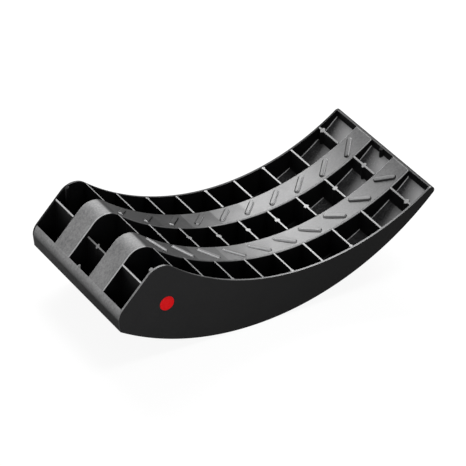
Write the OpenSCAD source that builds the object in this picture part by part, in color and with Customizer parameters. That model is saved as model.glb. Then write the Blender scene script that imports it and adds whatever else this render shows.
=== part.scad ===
// Curved rocker leveller for the wheel of a caravan or a motorhome.
// A tyre rolls up from the thin tip and settles in the concave cradle, while the convex underside
// rocks on the ground and lifts the wheel until it stands level.
// X runs from the thick nose at -X to the thin tip at +X, Y across the width and Z up.
// The side with the badge is the left one, seen in the direction that the tyre rolls.
// The origin is on the ground, under the middle of the box that holds the part.

/* [Overall] */
// Width across the two side walls
ramp_w = 190; // [180:1:220]
// Radius of the convex underside that rocks on the ground
rock_r = 312.4; // [306:0.1:320]
// Radius of the concave cradle that the tyre sits in
cradle_r = 267.7; // [262:0.1:272]
// How far the bottom of the cradle lies from the rocking point, towards the tip
cradle_shift = 62.6; // [59:0.1:66]
// Height of the bottom of the cradle above the rocking point
cradle_h = 51; // [47:0.1:54]
// Angle, nose down, at which the empty part comes to rest on its underside
rest_tilt = 1.7; // [0:0.1:4]

/* [Nose and tip] */
// How far the corner of the nose lip lies from the rocking point
nose_reach = 175.4; // [168:0.1:182]
// Height of the corner of the nose lip above the rocking point
lip_h = 73.7; // [70:0.1:77]
// Angle of the nose slope above level
slope_angle = 46.5; // [43:0.5:50]
// Angle by which the front of the lip leans out
front_lean = 6; // [2:0.5:8]
// Radius of the rounding between the front of the lip and the slope
lip_r = 18; // [10:0.5:22]
// Radius of the crest between the slope and the cradle
crest_r = 21.5; // [12:0.5:26]
// Radius of the rounded tip
tip_r = 4.3; // [4.1:0.1:4.8]

/* [Walls and rows] */
// Thickness of the two side walls
side_t = 2.6; // [2:0.1:3.6]
// Width of the middle row of cells
middle_row_w = 42.4; // [36:0.2:48]
// Width of each tread
tread_w = 31.8; // [28:0.2:36]
// Thickness of the tread decks
deck_t = 3.2; // [2.4:0.1:4]
// Thickness of the walls under the edges of a tread
tread_wall_t = 3; // [2:0.1:4]
// Thickness of the cell floors
floor_t = 2; // [2:0.1:3.6]
// Thickness of the nose lip at its corner
lip_t = 5.1; // [4.4:0.1:7]
// Thickness of the tip wall
tip_t = 5.8; // [4.5:0.1:7]

/* [Cross ribs] */
// Number of cross ribs along each row of cells
rib_count = 10; // [8:1:10]
// Distance from one cross rib to the next
rib_pitch = 37.9; // [35:0.1:38]
// How far the first cross rib lies from the rocking point, towards the nose
first_rib_reach = 146; // [143:0.1:149]
// Thickness of a cross rib
rib_t = 2.6; // [2:0.1:3.4]
// Thickness of the first cross ribs, which stand under the slope
nose_rib_t = 1.7; // [1.4:0.1:2.6]
// How far the first cross rib of the middle row stays under the slope
nose_rib_drop = 5.2; // [0:0.1:8]
// Diameter of the round bosses on the ribs
boss_d = 6.4; // [4:0.1:8]
// How far the bosses of the outer rows' last ribs stand from the outside of the side walls
outer_boss_in = 10; // [8:0.5:14]
// Diameter of the small bosses, which stand next to the nose and against the side walls
small_boss_d = 4.6; // [3.6:0.1:5]
// How far the outer rows' small bosses stand from the outside of the side walls
wall_boss_in = 4.4; // [4:0.1:6]
// How far the bosses under the crest lie from its top, towards the nose
crest_boss_reach = 9.5; // [6:0.5:12]
// How far the channel ribs stand above the underside
channel_rib_lift = 2; // [0:0.1:4]

/* [Grip bars] */
// Number of grip bars on each tread
bar_count = 10; // [6:1:10]
// Distance from one grip bar to the next along the ramp
bar_pitch = 32.6; // [30:0.1:33]
// How far the grip bar nearest the tip lies from the rocking point
bar_reach = 198.2; // [190:0.1:200]
// Length of a grip bar
bar_l = 27.5; // [20:0.5:30]
// Width of a grip bar
bar_w = 6.3; // [4:0.1:7]
// Height of a grip bar above the deck
bar_h = 1.8; // [1:0.1:2.4]
// Angle between a grip bar and the length of the ramp
bar_angle = 45; // [30:1:60]

/* [Badge] */
// Diameter of the badge
badge_d = 17.2; // [12:0.1:22]
// Thickness of the badge
badge_t = 1.2; // [0.8:0.1:1.6]
// Gap between the badge and the rim of its recess
badge_gap = 0.2; // [0.1:0.1:0.4]
// How far the badge lies from the rocking point, towards the nose
badge_reach = 116.1; // [110:0.1:122]
// Height of the badge above the rocking point
badge_h = 68.8; // [64:0.1:74]

/* [Hidden] */
$fn = 180;

plastic = "#26272a";
tread_plastic = "#3a3b3e";
badge_red = "#c41a20";

// A length past every edge of the part, and a height above all of it, for cutting
past = 2 * rock_r;
ceiling = rock_r / 2;

// Points of the profile, in a plane of length and height with the rocking point at its origin
rock_centre = [0, rock_r];
cradle_centre = [cradle_shift, cradle_h + cradle_r];
lip_corner = [-nose_reach, lip_h];

// Directions of the two straight edges of the nose, and their normals into the part
slope_along = [cos(slope_angle), sin(slope_angle)];
slope_in = [sin(slope_angle), -cos(slope_angle)];
front_up = [-sin(front_lean), cos(front_lean)];
front_in = [cos(front_lean), sin(front_lean)];

// Centres of the three roundings
lip_centre = between_lines(lip_r);
crest_centre = line_to_circle(
    lip_corner + crest_r * slope_in, slope_along, cradle_centre, cradle_r + crest_r
);
tip_centre = two_circles(rock_centre, rock_r - tip_r, cradle_centre, cradle_r + tip_r);

// Each rounding as its centre, its radius and the directions of its two ends
ROUNDINGS = [
    [lip_centre, lip_r, -front_in, -slope_in],
    [crest_centre, crest_r, -slope_in, unit(cradle_centre - crest_centre)],
    [tip_centre, tip_r, unit(cradle_centre - tip_centre), unit(tip_centre - rock_centre)],
];

// Ends of the space between the nose lip and the tip wall
lip_inner_x = -nose_reach + lip_t;
tip_inner_x = tip_centre.x + tip_r - tip_t;

// Middle of the length of the part at rest
middle_x = (turned(lip_centre).x - lip_r + turned(tip_centre).x + tip_r) / 2;

// Edges across the width, on the +Y side
side_y = ramp_w / 2;
outer_row_y = side_y - side_t;
inner_edge_y = middle_row_w / 2;
outer_edge_y = inner_edge_y + tread_w;
tread_y = (inner_edge_y + outer_edge_y) / 2;
outer_boss_y = side_y - outer_boss_in;
wall_boss_y = side_y - wall_boss_in;

// Cross ribs with a boss in the outer rows, those with a small one, and the last of the middle row with one
OUTER_BOSS_RIBS = [10];
WALL_BOSS_RIBS = [4, 6, 8];
LAST_SMALL_BOSS = 3;
crest_boss_x = crest_centre.x - crest_boss_reach;

// Rows of cells, as a name with the two edges across the width
ROWS = [
    ["left", -outer_row_y, -outer_edge_y],
    ["middle", -inner_edge_y, inner_edge_y],
    ["right", outer_edge_y, outer_row_y],
];
// Treads, as a name with the sign of their side
TREADS = [["left", -1], ["right", 1]];

function rib_x(k) = -first_rib_reach + (k - 1) * rib_pitch;
function bar_x(k) = bar_reach - (k - 1) * bar_pitch;
function rib_name(row, k) = str(row[0], "_rib_", k);

// Vector of length one
function unit(v) = v / norm(v);

// Point of the profile after the part has turned to its rest
function turned(p) =
    let (w = p - rock_centre)
    rock_centre + [
        w.x * cos(rest_tilt) - w.y * sin(rest_tilt),
        w.x * sin(rest_tilt) + w.y * cos(rest_tilt),
    ];

// Point at a distance from both straight edges of the nose, inside the part
function between_lines(distance) =
    lip_corner + distance * (front_in + slope_in) / (1 + front_in * slope_in);

// Point on the front of the lip, at a depth under the slope
function on_front(depth) = lip_corner + depth / (front_up * slope_in) * front_up;

// First point along a line that lies on a circle
function line_to_circle(start, along, centre, radius) =
    let (w = start - centre, half = w * along)
    start + along * (-half - sqrt(half * half - w * w + radius * radius));

// Point where two circles cross, on the right of the way from the first to the second
function two_circles(a, radius_a, b, radius_b) =
    let (
        gap = norm(b - a),
        e = (b - a) / gap,
        k = (radius_a * radius_a - radius_b * radius_b + gap * gap) / (2 * gap)
    )
    a + k * e + sqrt(radius_a * radius_a - k * k) * [e.y, -e.x];

// Disc of the underside
module rock_disc(inset = 0) {
    translate(rock_centre) circle(rock_r - inset);
}

// Disc of the cradle, which is open air
module cradle_disc(grow = 0) {
    translate(cradle_centre) circle(cradle_r + grow);
}

// Everything behind the front of the lip and below the slope, which is set in where asked
module behind_nose(inset = 0) {
    corner = on_front(inset);
    polygon([
        corner - past * front_up,
        corner,
        corner + (ceiling - corner.y) / slope_along.y * slope_along,
        [past, ceiling],
        [past, -past],
    ]);
}

// What a rounding takes off a sharp corner
module corner_waste(rounding, inset = 0) {
    centre = rounding[0];
    a = rounding[2];
    b = rounding[3];
    m = unit(a + b);
    difference() {
        polygon([
            centre,
            centre + past * a,
            centre + past * (a + m),
            centre + past * (b + m),
            centre + past * b,
        ]);
        translate(centre) circle(rounding[1] - inset);
    }
}

// Side view of the part, with its upper edge set in where asked
module profile(inset = 0) {
    difference() {
        intersection() {
            rock_disc();
            behind_nose(inset);
        }
        cradle_disc(inset);
        for (rounding = ROUNDINGS) if (rounding[1] > inset) corner_waste(rounding, inset);
    }
}

// Strip of the side view between two places along the length
module strip(x0, x1) {
    translate([x0, -past]) square([x1 - x0, 2 * past]);
}

// Side view of the space between the nose lip and the tip wall
module span(inset = 0) {
    intersection() {
        profile(inset);
        strip(lip_inner_x, tip_inner_x);
    }
}

// Turns the part to its rest, with its middle over the origin
module at_rest() {
    translate([-middle_x, 0, rock_r]) rotate([0, -rest_tilt, 0]) translate([0, 0, -rock_r]) children();
}

// Stands a side view up between two places across the width
module across(y0, y1) {
    translate([0, y1, 0]) rotate([90, 0, 0]) linear_extrude(y1 - y0) children();
}

// Side view of what stands on the cell floors, with its upper edge set in where asked
module above_floor(inset = 0) {
    intersection() {
        profile(inset);
        rock_disc(floor_t);
    }
}

// Round bosses at given places along the length, in a row between two edges, up to the rim
module bosses(places, y, y0, y1, inset = 0, d = boss_d) {
    intersection() {
        across(y0, y1) above_floor(inset);
        for (x = places) translate([x, y, 0]) cylinder(d = d, h = rock_r);
    }
}

// Side wall of the crescent, with a boss inside it under the crest
module side_wall(side) {
    inner = side * outer_row_y;
    outer = side * side_y;
    across(min(inner, outer), max(inner, outer)) profile();
    boss_in = side * (outer_row_y - small_boss_d);
    boss_y = side * (outer_row_y - small_boss_d / 3);
    bosses([crest_boss_x], boss_y, min(inner, boss_in), max(inner, boss_in), d = small_boss_d);
}

module left_side_wall() {
    color(plastic) at_rest() difference() {
        side_wall(-1);
        badge_disc(badge_d + 2 * badge_gap);
    }
}

module right_side_wall() {
    color(plastic) at_rest() side_wall(1);
}

// Round disc let into the outside of the left side wall
module badge_disc(d) {
    translate([-badge_reach, badge_t - side_y, badge_h])
        rotate([90, 0, 0]) cylinder(d = d, h = badge_t);
}

module badge() {
    color(badge_red) at_rest() badge_disc(badge_d);
}

// Rounded front wall between the side walls
module nose_lip() {
    color(tread_plastic) at_rest() {
        across(-outer_row_y, outer_row_y) intersection() {
            profile();
            strip(-past, lip_inner_x);
        }
        bosses([lip_inner_x], 0, -inner_edge_y, inner_edge_y, d = small_boss_d);
    }
}

// Rounded end wall between the side walls
module tip_wall() {
    color(plastic) at_rest() {
        across(-outer_row_y, outer_row_y) intersection() {
            profile();
            strip(tip_inner_x, past);
        }
        bosses([tip_inner_x], 0, -inner_edge_y, inner_edge_y);
    }
}

// Closed floor under a row of cells
module cell_floor(row) {
    color(plastic) at_rest() across(row[1], row[2]) difference() {
        span();
        rock_disc(floor_t);
    }
}

// Deck of a tread, which runs over the slope and the crest and down through the cradle
module tread(side) {
    middle = side * tread_y;
    color(tread_plastic) at_rest() across(middle - tread_w / 2, middle + tread_w / 2) difference() {
        span();
        profile(deck_t);
    }
}

// Upright wall under one edge of a tread
module tread_wall(side, edge, inward) {
    face = side * edge;
    back = side * (edge + inward * tread_wall_t);
    color(plastic) at_rest() across(min(face, back), max(face, back)) span(deck_t);
}

// Row of ribs inside the channel under a tread
module channel_ribs(side) {
    middle = side * tread_y;
    half = tread_w / 2 - tread_wall_t;
    color(plastic) at_rest() across(middle - half, middle + half) intersection() {
        span(deck_t);
        rock_disc(channel_rib_lift);
        for (k = [1 : rib_count]) strip(rib_x(k) - rib_t / 2, rib_x(k) + rib_t / 2);
    }
}

// Flat bar with round ends, along X
module bar_outline() {
    straight = bar_l - bar_w;
    square([straight, bar_w], center = true);
    for (end = [-1, 1]) translate([end * straight / 2, 0]) circle(d = bar_w);
}

// Row of slanted bars that stand on the deck of a tread
module grip_bars(side) {
    middle = side * tread_y;
    color(tread_plastic) at_rest() intersection() {
        across(middle - tread_w / 2, middle + tread_w / 2) difference() {
            cradle_disc();
            cradle_disc(-bar_h);
        }
        for (k = [1 : bar_count])
            translate([bar_x(k), middle, 0])
                rotate(side * bar_angle) linear_extrude(rock_r) bar_outline();
    }
}

// Cross rib of a row of cells, with its round boss
module rib(row, k) {
    x = rib_x(k);
    in_middle = row[0] == "middle";
    half = (k == 1 ? nose_rib_t : rib_t) / 2;
    drop = k == 1 && in_middle ? nose_rib_drop : 0;
    side = sign(row[1]);
    color(plastic) at_rest() {
        across(row[1], row[2]) intersection() {
            above_floor(drop);
            strip(x - half, x + half);
        }
        if (in_middle) bosses([x], 0, row[1], row[2], drop, k > LAST_SMALL_BOSS ? boss_d : small_boss_d);
        else if (len(search(k, OUTER_BOSS_RIBS)) > 0) bosses([x], side * outer_boss_y, row[1], row[2]);
        else if (len(search(k, WALL_BOSS_RIBS)) > 0)
            bosses([x], side * wall_boss_y, row[1], row[2], d = small_boss_d);
    }
}

left_side_wall();
right_side_wall();
nose_lip();
tip_wall();
badge();
for (row = ROWS) {
    cell_floor(row);
    for (k = [1 : rib_count])
        rib(row, k);
}
for (t = TREADS) {
    tread(t[1]);
    tread_wall(t[1], inner_edge_y, 1);
    tread_wall(t[1], outer_edge_y, -1);
    channel_ribs(t[1]);
    grip_bars(t[1]);
}
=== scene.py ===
import math

import bmesh
import bpy
from bmesh.types import BMEdge, BMFace, BMVert
from bpy.props import FloatProperty, FloatVectorProperty, IntProperty, PointerProperty
from mathutils import Matrix, Vector


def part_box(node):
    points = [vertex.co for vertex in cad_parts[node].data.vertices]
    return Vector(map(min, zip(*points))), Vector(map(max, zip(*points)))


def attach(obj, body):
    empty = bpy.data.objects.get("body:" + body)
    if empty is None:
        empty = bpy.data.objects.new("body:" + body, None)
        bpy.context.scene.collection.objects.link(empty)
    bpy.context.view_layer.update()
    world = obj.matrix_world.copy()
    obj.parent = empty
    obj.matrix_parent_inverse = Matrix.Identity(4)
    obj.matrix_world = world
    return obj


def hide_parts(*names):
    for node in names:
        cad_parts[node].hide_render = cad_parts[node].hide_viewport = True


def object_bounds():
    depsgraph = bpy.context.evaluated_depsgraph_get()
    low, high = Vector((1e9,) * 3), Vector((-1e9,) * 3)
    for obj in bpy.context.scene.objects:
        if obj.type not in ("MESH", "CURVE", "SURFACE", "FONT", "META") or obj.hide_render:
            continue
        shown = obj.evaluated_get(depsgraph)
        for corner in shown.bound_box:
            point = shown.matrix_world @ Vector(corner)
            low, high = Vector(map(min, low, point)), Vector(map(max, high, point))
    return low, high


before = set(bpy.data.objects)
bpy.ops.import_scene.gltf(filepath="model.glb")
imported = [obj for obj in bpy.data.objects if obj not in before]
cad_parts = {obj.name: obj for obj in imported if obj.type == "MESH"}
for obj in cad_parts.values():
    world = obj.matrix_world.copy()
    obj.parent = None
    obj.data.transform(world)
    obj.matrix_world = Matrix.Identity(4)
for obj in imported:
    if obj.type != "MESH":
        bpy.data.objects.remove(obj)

bl_info = {
    "name": "Wheel leveller",
    "version": (1, 0, 0),
    "blender": (4, 5, 0),
    "location": "3D View > Sidebar > Leveller",
    "description": "Models a curved rocker wheel leveller round its packed frame",
    "category": "Object",
}

# Box of the frame, the body that the pieces hang from, and the names of two material slots
CAD_BOX = [Vector(corner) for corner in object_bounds()]
BODY = "root"
BLACK_SLOT = "black_plastic"
RED_SLOT = "badge_red"

# Axes and directions in the frame
X, Y, Z = range(3)
ALONG = Vector((1.0, 0.0, 0.0))
ACROSS = Vector((0.0, 1.0, 0.0))
UP = Vector((0.0, 0.0, 1.0))

# How finely the curves are divided
LIP_STEPS = 14
CREST_STEPS = 22
CRADLE_STEPS = 96
TIP_STEPS = 14
ROCK_STEPS = 96
BOSS_STEPS = 12
BAR_STEPS = 10
BADGE_STEPS = 72
CORNER_STEPS = 4
ROUND_STEPS = 3

# Points closer than this are one point, and places closer than this are one place
MERGE = 1e-6
NEAR = 1e-5
# Edges sharper than this stay sharp
SHARP = math.radians(50.0)
# How far a piece may stand outside the node that it replaces
FIT = 0.0035
# Lengths past the edges of a piece for cutting, and the height of a plate before it is cut
SPARE = 0.004
PAST = 0.06
PLATE_H = 4.0 * PAST
# Parts of a crest boss's diameter, one of which lies between its axis and the side wall
CREST_BOSS_PARTS = 3.0
# Half of a square of one unit, which is then stretched
HALF_UNIT = 0.5
HALF_TURN = math.pi
QUARTER_TURN = math.pi / 2.0

# How nearly a face has to lie along the upper edge to take the finish of a rim, rib, bar or deck
RIM_SHARE = 0.75
RIB_SHARE = 0.98
BAR_SHARE = 0.9
DECK_SHARE = 0.5
EDGE_SHARE = 0.93
# How nearly a bar's face has to turn toward the front-left to take a painted highlight, and how nearly
# toward either side of the bar to take painted shade on one side and a painted highlight on the other
HIGHLIT_WAY = Vector((-1.0, -1.0, 0.0)).normalized()
HIGHLIT_SHARE = 0.3
SHADED_SHARE = 0.2
PALE_SHARE = 0.5
# Lean, from and to, of the faces in a floor's fillet that take a painted highlight
FILLET_SHARE = (0.5, 0.9)

# Sides of the part, and the numbers of the ribs and bars that differ from the rest
SIDES = {"left": -1.0, "right": 1.0}
NOSE_RIB = 1
OUTER_BOSS_RIBS = (10,)
WALL_BOSS_RIBS = (4, 6, 8)
LAST_SMALL_BOSS = 3
WIDE_RIBS = range(3, 8)
# Tops of the left tread's bars from this number on, next to the crest, take a painted highlight; the right
# tread's bars before it take painted shade and a painted highlight on their sides
FIRST_HIGHLIT_BAR = 7
# Floors past the rib of this number take the floor finish with its painted pool of light; floors before it
# take painted shade
FIRST_LIT_FLOOR_RIB = 8

# Places in a piece's list of finishes
FIRST, SECOND, THIRD, FOURTH = range(4)
# What a finish covers, its tone, the second tone of its mottle, its roughness, gloss and grain
FINISHES = {
    "wall": ("Side walls", (0.009, 0.009, 0.0094), (0.013, 0.013, 0.0134), 0.55, 0.08, 0.08),
    # The cell finish is a deeper black than the other plastic: painted shade in the cells, the channels,
    # the tip wall and on the bars' shaded sides
    "cell": ("Ribs and inner walls", (0.0018, 0.0018, 0.002), (0.003, 0.003, 0.0032), 0.5, 0.08, 0.06),
    # The rim finish is paler and glossier than the treads: a painted highlight on the tops of the ribs
    "rim": ("Tops of the ribs", (0.045, 0.045, 0.046), (0.085, 0.085, 0.086), 0.42, 0.4, 0.05),
    "floor": ("Cell floors", (0.012, 0.012, 0.0124), (0.03, 0.03, 0.031), 0.24, 0.3, 0.04),
    "tread": ("Treads", (0.02, 0.02, 0.021), (0.05, 0.05, 0.051), 0.44, 0.28, 0.1),
    # The edge finish, labelled as rubbed edges, is a pale grey: a painted highlight on rounded edges of
    # decks, lip and nose ribs, on the floors' fillets and on some bars
    "edge": ("Rubbed edges", (0.2, 0.2, 0.202), (0.32, 0.32, 0.323), 0.5, 0.28, 0.08),
    # The bar finish is near black: painted shade on the bars' sides, with a painted highlight laid over
    # them under the crest
    "bar": ("Bar sides", (0.004, 0.004, 0.0042), (0.008, 0.008, 0.0083), 0.5, 0.2, 0.05),
    # The lip finish is grey: a painted highlight on the lip, with painted shade laid over its foot
    "lip": ("Lip", (0.165, 0.165, 0.166), (0.265, 0.265, 0.267), 0.57, 0.06, 0.1),
    "badge": ("Badge", (0.58, 0.004, 0.006), (0.52, 0.003, 0.005), 0.3, 0.04, 0.03),
}
FINISH_PARTS = ("colour", "mottle", "rough", "gloss", "grain")
# Noise in the plastic: broad clouds, small patches and the grain, with the grain's depth
CLOUDS = {"Scale": 38.0, "Detail": 5.0, "Roughness": 0.6}
PATCHES = {"Scale": 420.0, "Detail": 3.0, "Roughness": 0.55}
GRAIN = {"Scale": 2600.0, "Detail": 2.0, "Roughness": 0.5}
GRAIN_DEPTH = 0.0002
# Share of the clouds in the mottle, and the levels of noise that count as none and as all
CLOUD_SHARE = 0.45
MOTTLE_LIMITS = (0.38, 0.62)
DRIFT_LIMITS = (0.3, 0.7)
# How far the mottle moves the roughness either way
SHEEN_SWING = 0.05

# Lamps, and the colour and the strength of a full white
SOFTBOXES = ("back", "top", "front")
WHITE = (1.0, 1.0, 1.0, 1.0)
FULL = 1.0


def length(name, description, default):
    """Property for a length in metres."""
    return FloatProperty(
        name=name, description=description, default=default, unit="LENGTH", precision=5
    )


def angle(name, description, degrees):
    """Property for an angle, given in degrees."""
    return FloatProperty(
        name=name, description=description, default=math.radians(degrees), subtype="ANGLE", unit="ROTATION"
    )


def share(name, description, default):
    """Property for a share from none to all."""
    return FloatProperty(
        name=name, description=description, default=default, min=0.0, max=1.0, subtype="FACTOR"
    )


def colour(name, description, default):
    """Property for a colour."""
    return FloatVectorProperty(
        name=name, description=description, default=default, min=0.0, max=1.0, size=3, subtype="COLOR"
    )


def place(name, description, default):
    """Property for a place in the room."""
    return FloatVectorProperty(
        name=name, description=description, default=default, size=3, subtype="TRANSLATION", unit="LENGTH"
    )


def power(name, description, default):
    """Property for the power of a lamp in watts."""
    return FloatProperty(name=name, description=description, default=default, min=0.0, unit="POWER")


def finish_properties(kind, label, tone, mottle, rough, gloss, grain):
    """Properties of one of the finishes, by the names that the script reads them by."""
    thing = label.lower()
    return {
        f"{kind}_colour": colour(label, f"Colour of the {thing}", tone),
        f"{kind}_mottle": colour(f"{label}, mottle", f"Second colour of the {thing}", mottle),
        f"{kind}_rough": share(f"{label}, roughness", f"Roughness of the {thing}", rough),
        f"{kind}_gloss": share(f"{label}, gloss", f"Specular level of the {thing}", gloss),
        f"{kind}_grain": share(f"{label}, grain", f"Strength of the grain of the {thing}", grain),
    }


class LevellerShape(bpy.types.PropertyGroup):
    """Side view of the leveller, measured from the point that it rocks on"""

    rock_r: length("Underside radius", "Radius of the convex underside", 0.3124)
    cradle_r: length("Cradle radius", "Radius of the concave cradle", 0.2677)
    cradle_shift: length("Cradle shift", "Distance from the rocking point to the cradle's bottom", 0.0626)
    cradle_h: length("Cradle height", "Height of the cradle's bottom", 0.051)
    rest_tilt: angle("Rest tilt", "Angle, nose down, at which the part rests", 1.7)
    nose_reach: length("Nose reach", "Distance from the rocking point to the corner of the lip", 0.1754)
    lip_h: length("Lip height", "Height of the corner of the lip", 0.0737)
    slope_angle: angle("Slope", "Angle of the nose slope", 46.5)
    front_lean: angle("Front lean", "Angle by which the front of the lip leans out", 6.0)
    lip_r: length("Lip radius", "Rounding between the front and the slope", 0.018)
    crest_r: length("Crest radius", "Rounding between the slope and the cradle", 0.0215)
    tip_r: length("Tip radius", "Rounding of the tip", 0.0043)
    lip_t: length("Lip thickness", "Thickness of the nose lip at its corner", 0.0051)
    tip_t: length("Tip thickness", "Thickness of the tip wall", 0.0058)


class LevellerRows(bpy.types.PropertyGroup):
    """Walls, decks, floors and ribs across and along the leveller"""

    side_t: length("Side wall", "Thickness of the two side walls", 0.0026)
    middle_w: length("Middle row", "Width of the middle row of cells", 0.0424)
    tread_w: length("Tread width", "Width of each tread", 0.0318)
    deck_t: length("Deck", "Thickness of the tread decks", 0.0032)
    wall_t: length("Tread wall", "Thickness of the walls under the edges of a tread", 0.003)
    floor_t: length("Floor", "Thickness of the cell floors", 0.002)
    rib_count: IntProperty(name="Ribs", description="Ribs along each row", default=10, min=1, max=10)
    rib_pitch: length("Rib pitch", "Distance from one cross rib to the next", 0.0379)
    first_rib: length("First rib", "Distance from the rocking point to the first rib", 0.146)
    rib_t: length("Rib", "Thickness of a cross rib", 0.0026)
    nose_rib_t: length("Nose rib", "Thickness of the cross ribs next to the lip", 0.0017)
    nose_rib_drop: length("Nose rib drop", "Depth of the middle nose rib under the slope", 0.0052)
    boss_d: length("Boss", "Diameter of the round bosses", 0.0064)
    outer_boss_in: length("Outer boss", "Distance of the outer bosses from the side walls' outside", 0.01)
    small_boss_d: length("Small boss", "Diameter of the bosses next to the nose and the side walls", 0.0046)
    wall_boss_in: length("Small boss place", "Distance of the small bosses from the walls' outside", 0.0044)
    crest_boss_reach: length("Crest boss", "Distance of the crest bosses from the crest's top", 0.0095)
    channel_lift: length("Channel lift", "Height of the channel ribs above the underside", 0.002)


class LevellerDetails(bpy.types.PropertyGroup):
    """Grip bars, badge and the roundings that the mould leaves"""

    bar_count: IntProperty(name="Bars", description="Grip bars on each tread", default=10, min=1, max=10)
    bar_pitch: length("Bar pitch", "Distance from one grip bar to the next", 0.0326)
    bar_reach: length("Bar reach", "Distance from the rocking point to the last grip bar", 0.1982)
    bar_l: length("Bar length", "Length of a grip bar", 0.0275)
    bar_w: length("Bar width", "Width of a grip bar", 0.0063)
    bar_h: length("Bar height", "Height of a grip bar above the deck", 0.0018)
    bar_angle: angle("Bar angle", "Angle between a grip bar and the length of the ramp", 45.0)
    bar_round: length("Bar rounding", "Rounding of the top of a grip bar", 0.0016)
    bar_sink: length("Bar sink", "Depth by which a grip bar stands in its deck", 0.0004)
    rim_round: length("Rim rounding", "Rounding of the side walls' rims", 0.0009)
    rib_round: length("Rib rounding", "Rounding of the tops of the ribs", 0.0005)
    deck_round: length("Deck rounding", "Rounding of the edges of the tread decks", 0.0016)
    floor_fillet: length("Floor fillet", "Fillet between a cell floor and the walls", 0.0012)
    badge_d: length("Badge", "Diameter of the badge", 0.0172)
    badge_t: length("Badge thickness", "Thickness of the badge", 0.0012)
    badge_gap: length("Badge gap", "Gap between the badge and its recess", 0.0002)
    badge_reach: length("Badge reach", "Distance of the badge from the rocking point", 0.1161)
    badge_h: length("Badge height", "Height of the badge above the rocking point", 0.0688)
    badge_rim: length("Badge rim", "Width of the raised rim of the badge", 0.0012)
    badge_dish: length("Badge dish", "Depth of the field inside the badge's rim", 0.00035)
    recess_round: length("Recess rounding", "Rounding of the edge of the badge's recess", 0.0003)


class LevellerFinish(bpy.types.PropertyGroup):
    """Painted light and shade and dulled bands on the mouldings, and the colours, gloss and grain of their
    finishes
    """

    # Painted shade on the side walls toward the tip
    wall_painted_shade: colour("Side walls, deep", "Black of the side walls at the tip", (0.001, 0.001, 0.001))
    wall_shade_from: length("Deep black", "Place along the part where the side walls start to darken", -0.16)
    wall_shade_full: length("Deep tip", "Place along the part where the side walls are deep black", 0.16)
    # Painted highlight on the rounded edges on the slope, and painted shade on them under the crest
    edge_highlight_grey: colour("Nose edges", "Grey of the rubbed edges on the slope", (0.42, 0.42, 0.424))
    edge_shade_black: colour("Crest edges", "Black of the edges under the crest", (0.06, 0.06, 0.061))
    edge_shade_to: length("Crest edges end", "Place along the part up to which the edges are dark", -0.045)
    # Painted highlight on the bars' sides under the crest
    bar_highlight_colour: colour("Rubbed bars", "Grey of the bars' rubbed sides", (0.45, 0.45, 0.455))
    bar_highlight_full: length("Rubbed up to", "Place along the part up to which bars are rubbed", 0.0)
    bar_highlight_end: length("Rubbed end", "Place along the part past which no bar is rubbed", 0.155)
    # A band under the crest that is rougher and painted in shade, ending in steps at the sink lines
    matt_shade_colour: colour("Matt band", "Black of the treads under the crest", (0.004, 0.004, 0.0042))
    matt_rough: share("Matt roughness", "Roughness of the treads under the crest", 0.95)
    matt_from: length("Matt start", "Place along the part where the matt band starts", -0.145)
    matt_full: length("Matt all over", "Place along the part where the band is matt all over", -0.142)
    matt_fade: length("Matt fade", "Place along the part where the matt band fades", -0.1)
    matt_end: length("Matt end", "Place along the part where the matt band ends", -0.002)
    matt_skew: share("Matt skew", "Skew of the end of the matt band across the part", 0.5)
    matt_drift: length("Matt drift", "How far the end of the matt band wanders", 0.008)
    sink_pitch: length("Sink pitch", "Distance between the sink lines across the treads", 0.0379)
    sink_share: share("Sink lines", "Share of the matt band that ends in steps at the sink lines", 0.7)
    nose_rough: share("Nose roughness", "Roughness of the slope and the crest", 0.57)
    # Painted pool of light on the cell floors toward the tip, on the badge's side of each row
    floor_light_colour: colour("Dusty floors", "Grey of the cell floors next to the tip", (0.18, 0.18, 0.182))
    row_pitch: length("Row pitch", "Distance from the middle of one row of cells to the next", 0.0727)
    floor_light_side: length("Dusty side", "Half of the width over which the dust thins out across a row", 0.012)
    floor_light_skew: share("Dusty skew", "Skew of the dust across a row toward the tip", 0.35)
    floor_light_from: length("Dusty start", "Place along the part where the floors start to grey", 0.1)
    floor_light_full: length("Dusty tip", "Place along the part where the floors are grey", 0.145)
    # Painted highlight in grey on the slope and the upper lip, fading to painted shade at the foot of the
    # lip
    slope_highlight_grey: colour("Nose", "Scuffed grey of the slope and the lip", (0.11, 0.11, 0.111))
    slope_highlight_pale: colour("Nose, pale", "Paler grey of the slope and the lip", (0.2, 0.2, 0.201))
    slope_highlight_end: length("Scuff end", "Place along the part where the scuffed nose ends", -0.14)
    slope_highlight_full: length("Scuffed nose", "Place along the part where the nose is scuffed all over", -0.166)
    foot_h: length("Foot of the lip", "Height under which the lip is black again", 0.0606)
    front_h: length("Front of the lip", "Height over which the lip is scuffed", 0.0708)


# Tones, roughness, gloss and grain of each finish
for finish_kind, finish_values in FINISHES.items():
    LevellerFinish.__annotations__.update(finish_properties(finish_kind, *finish_values))


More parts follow.
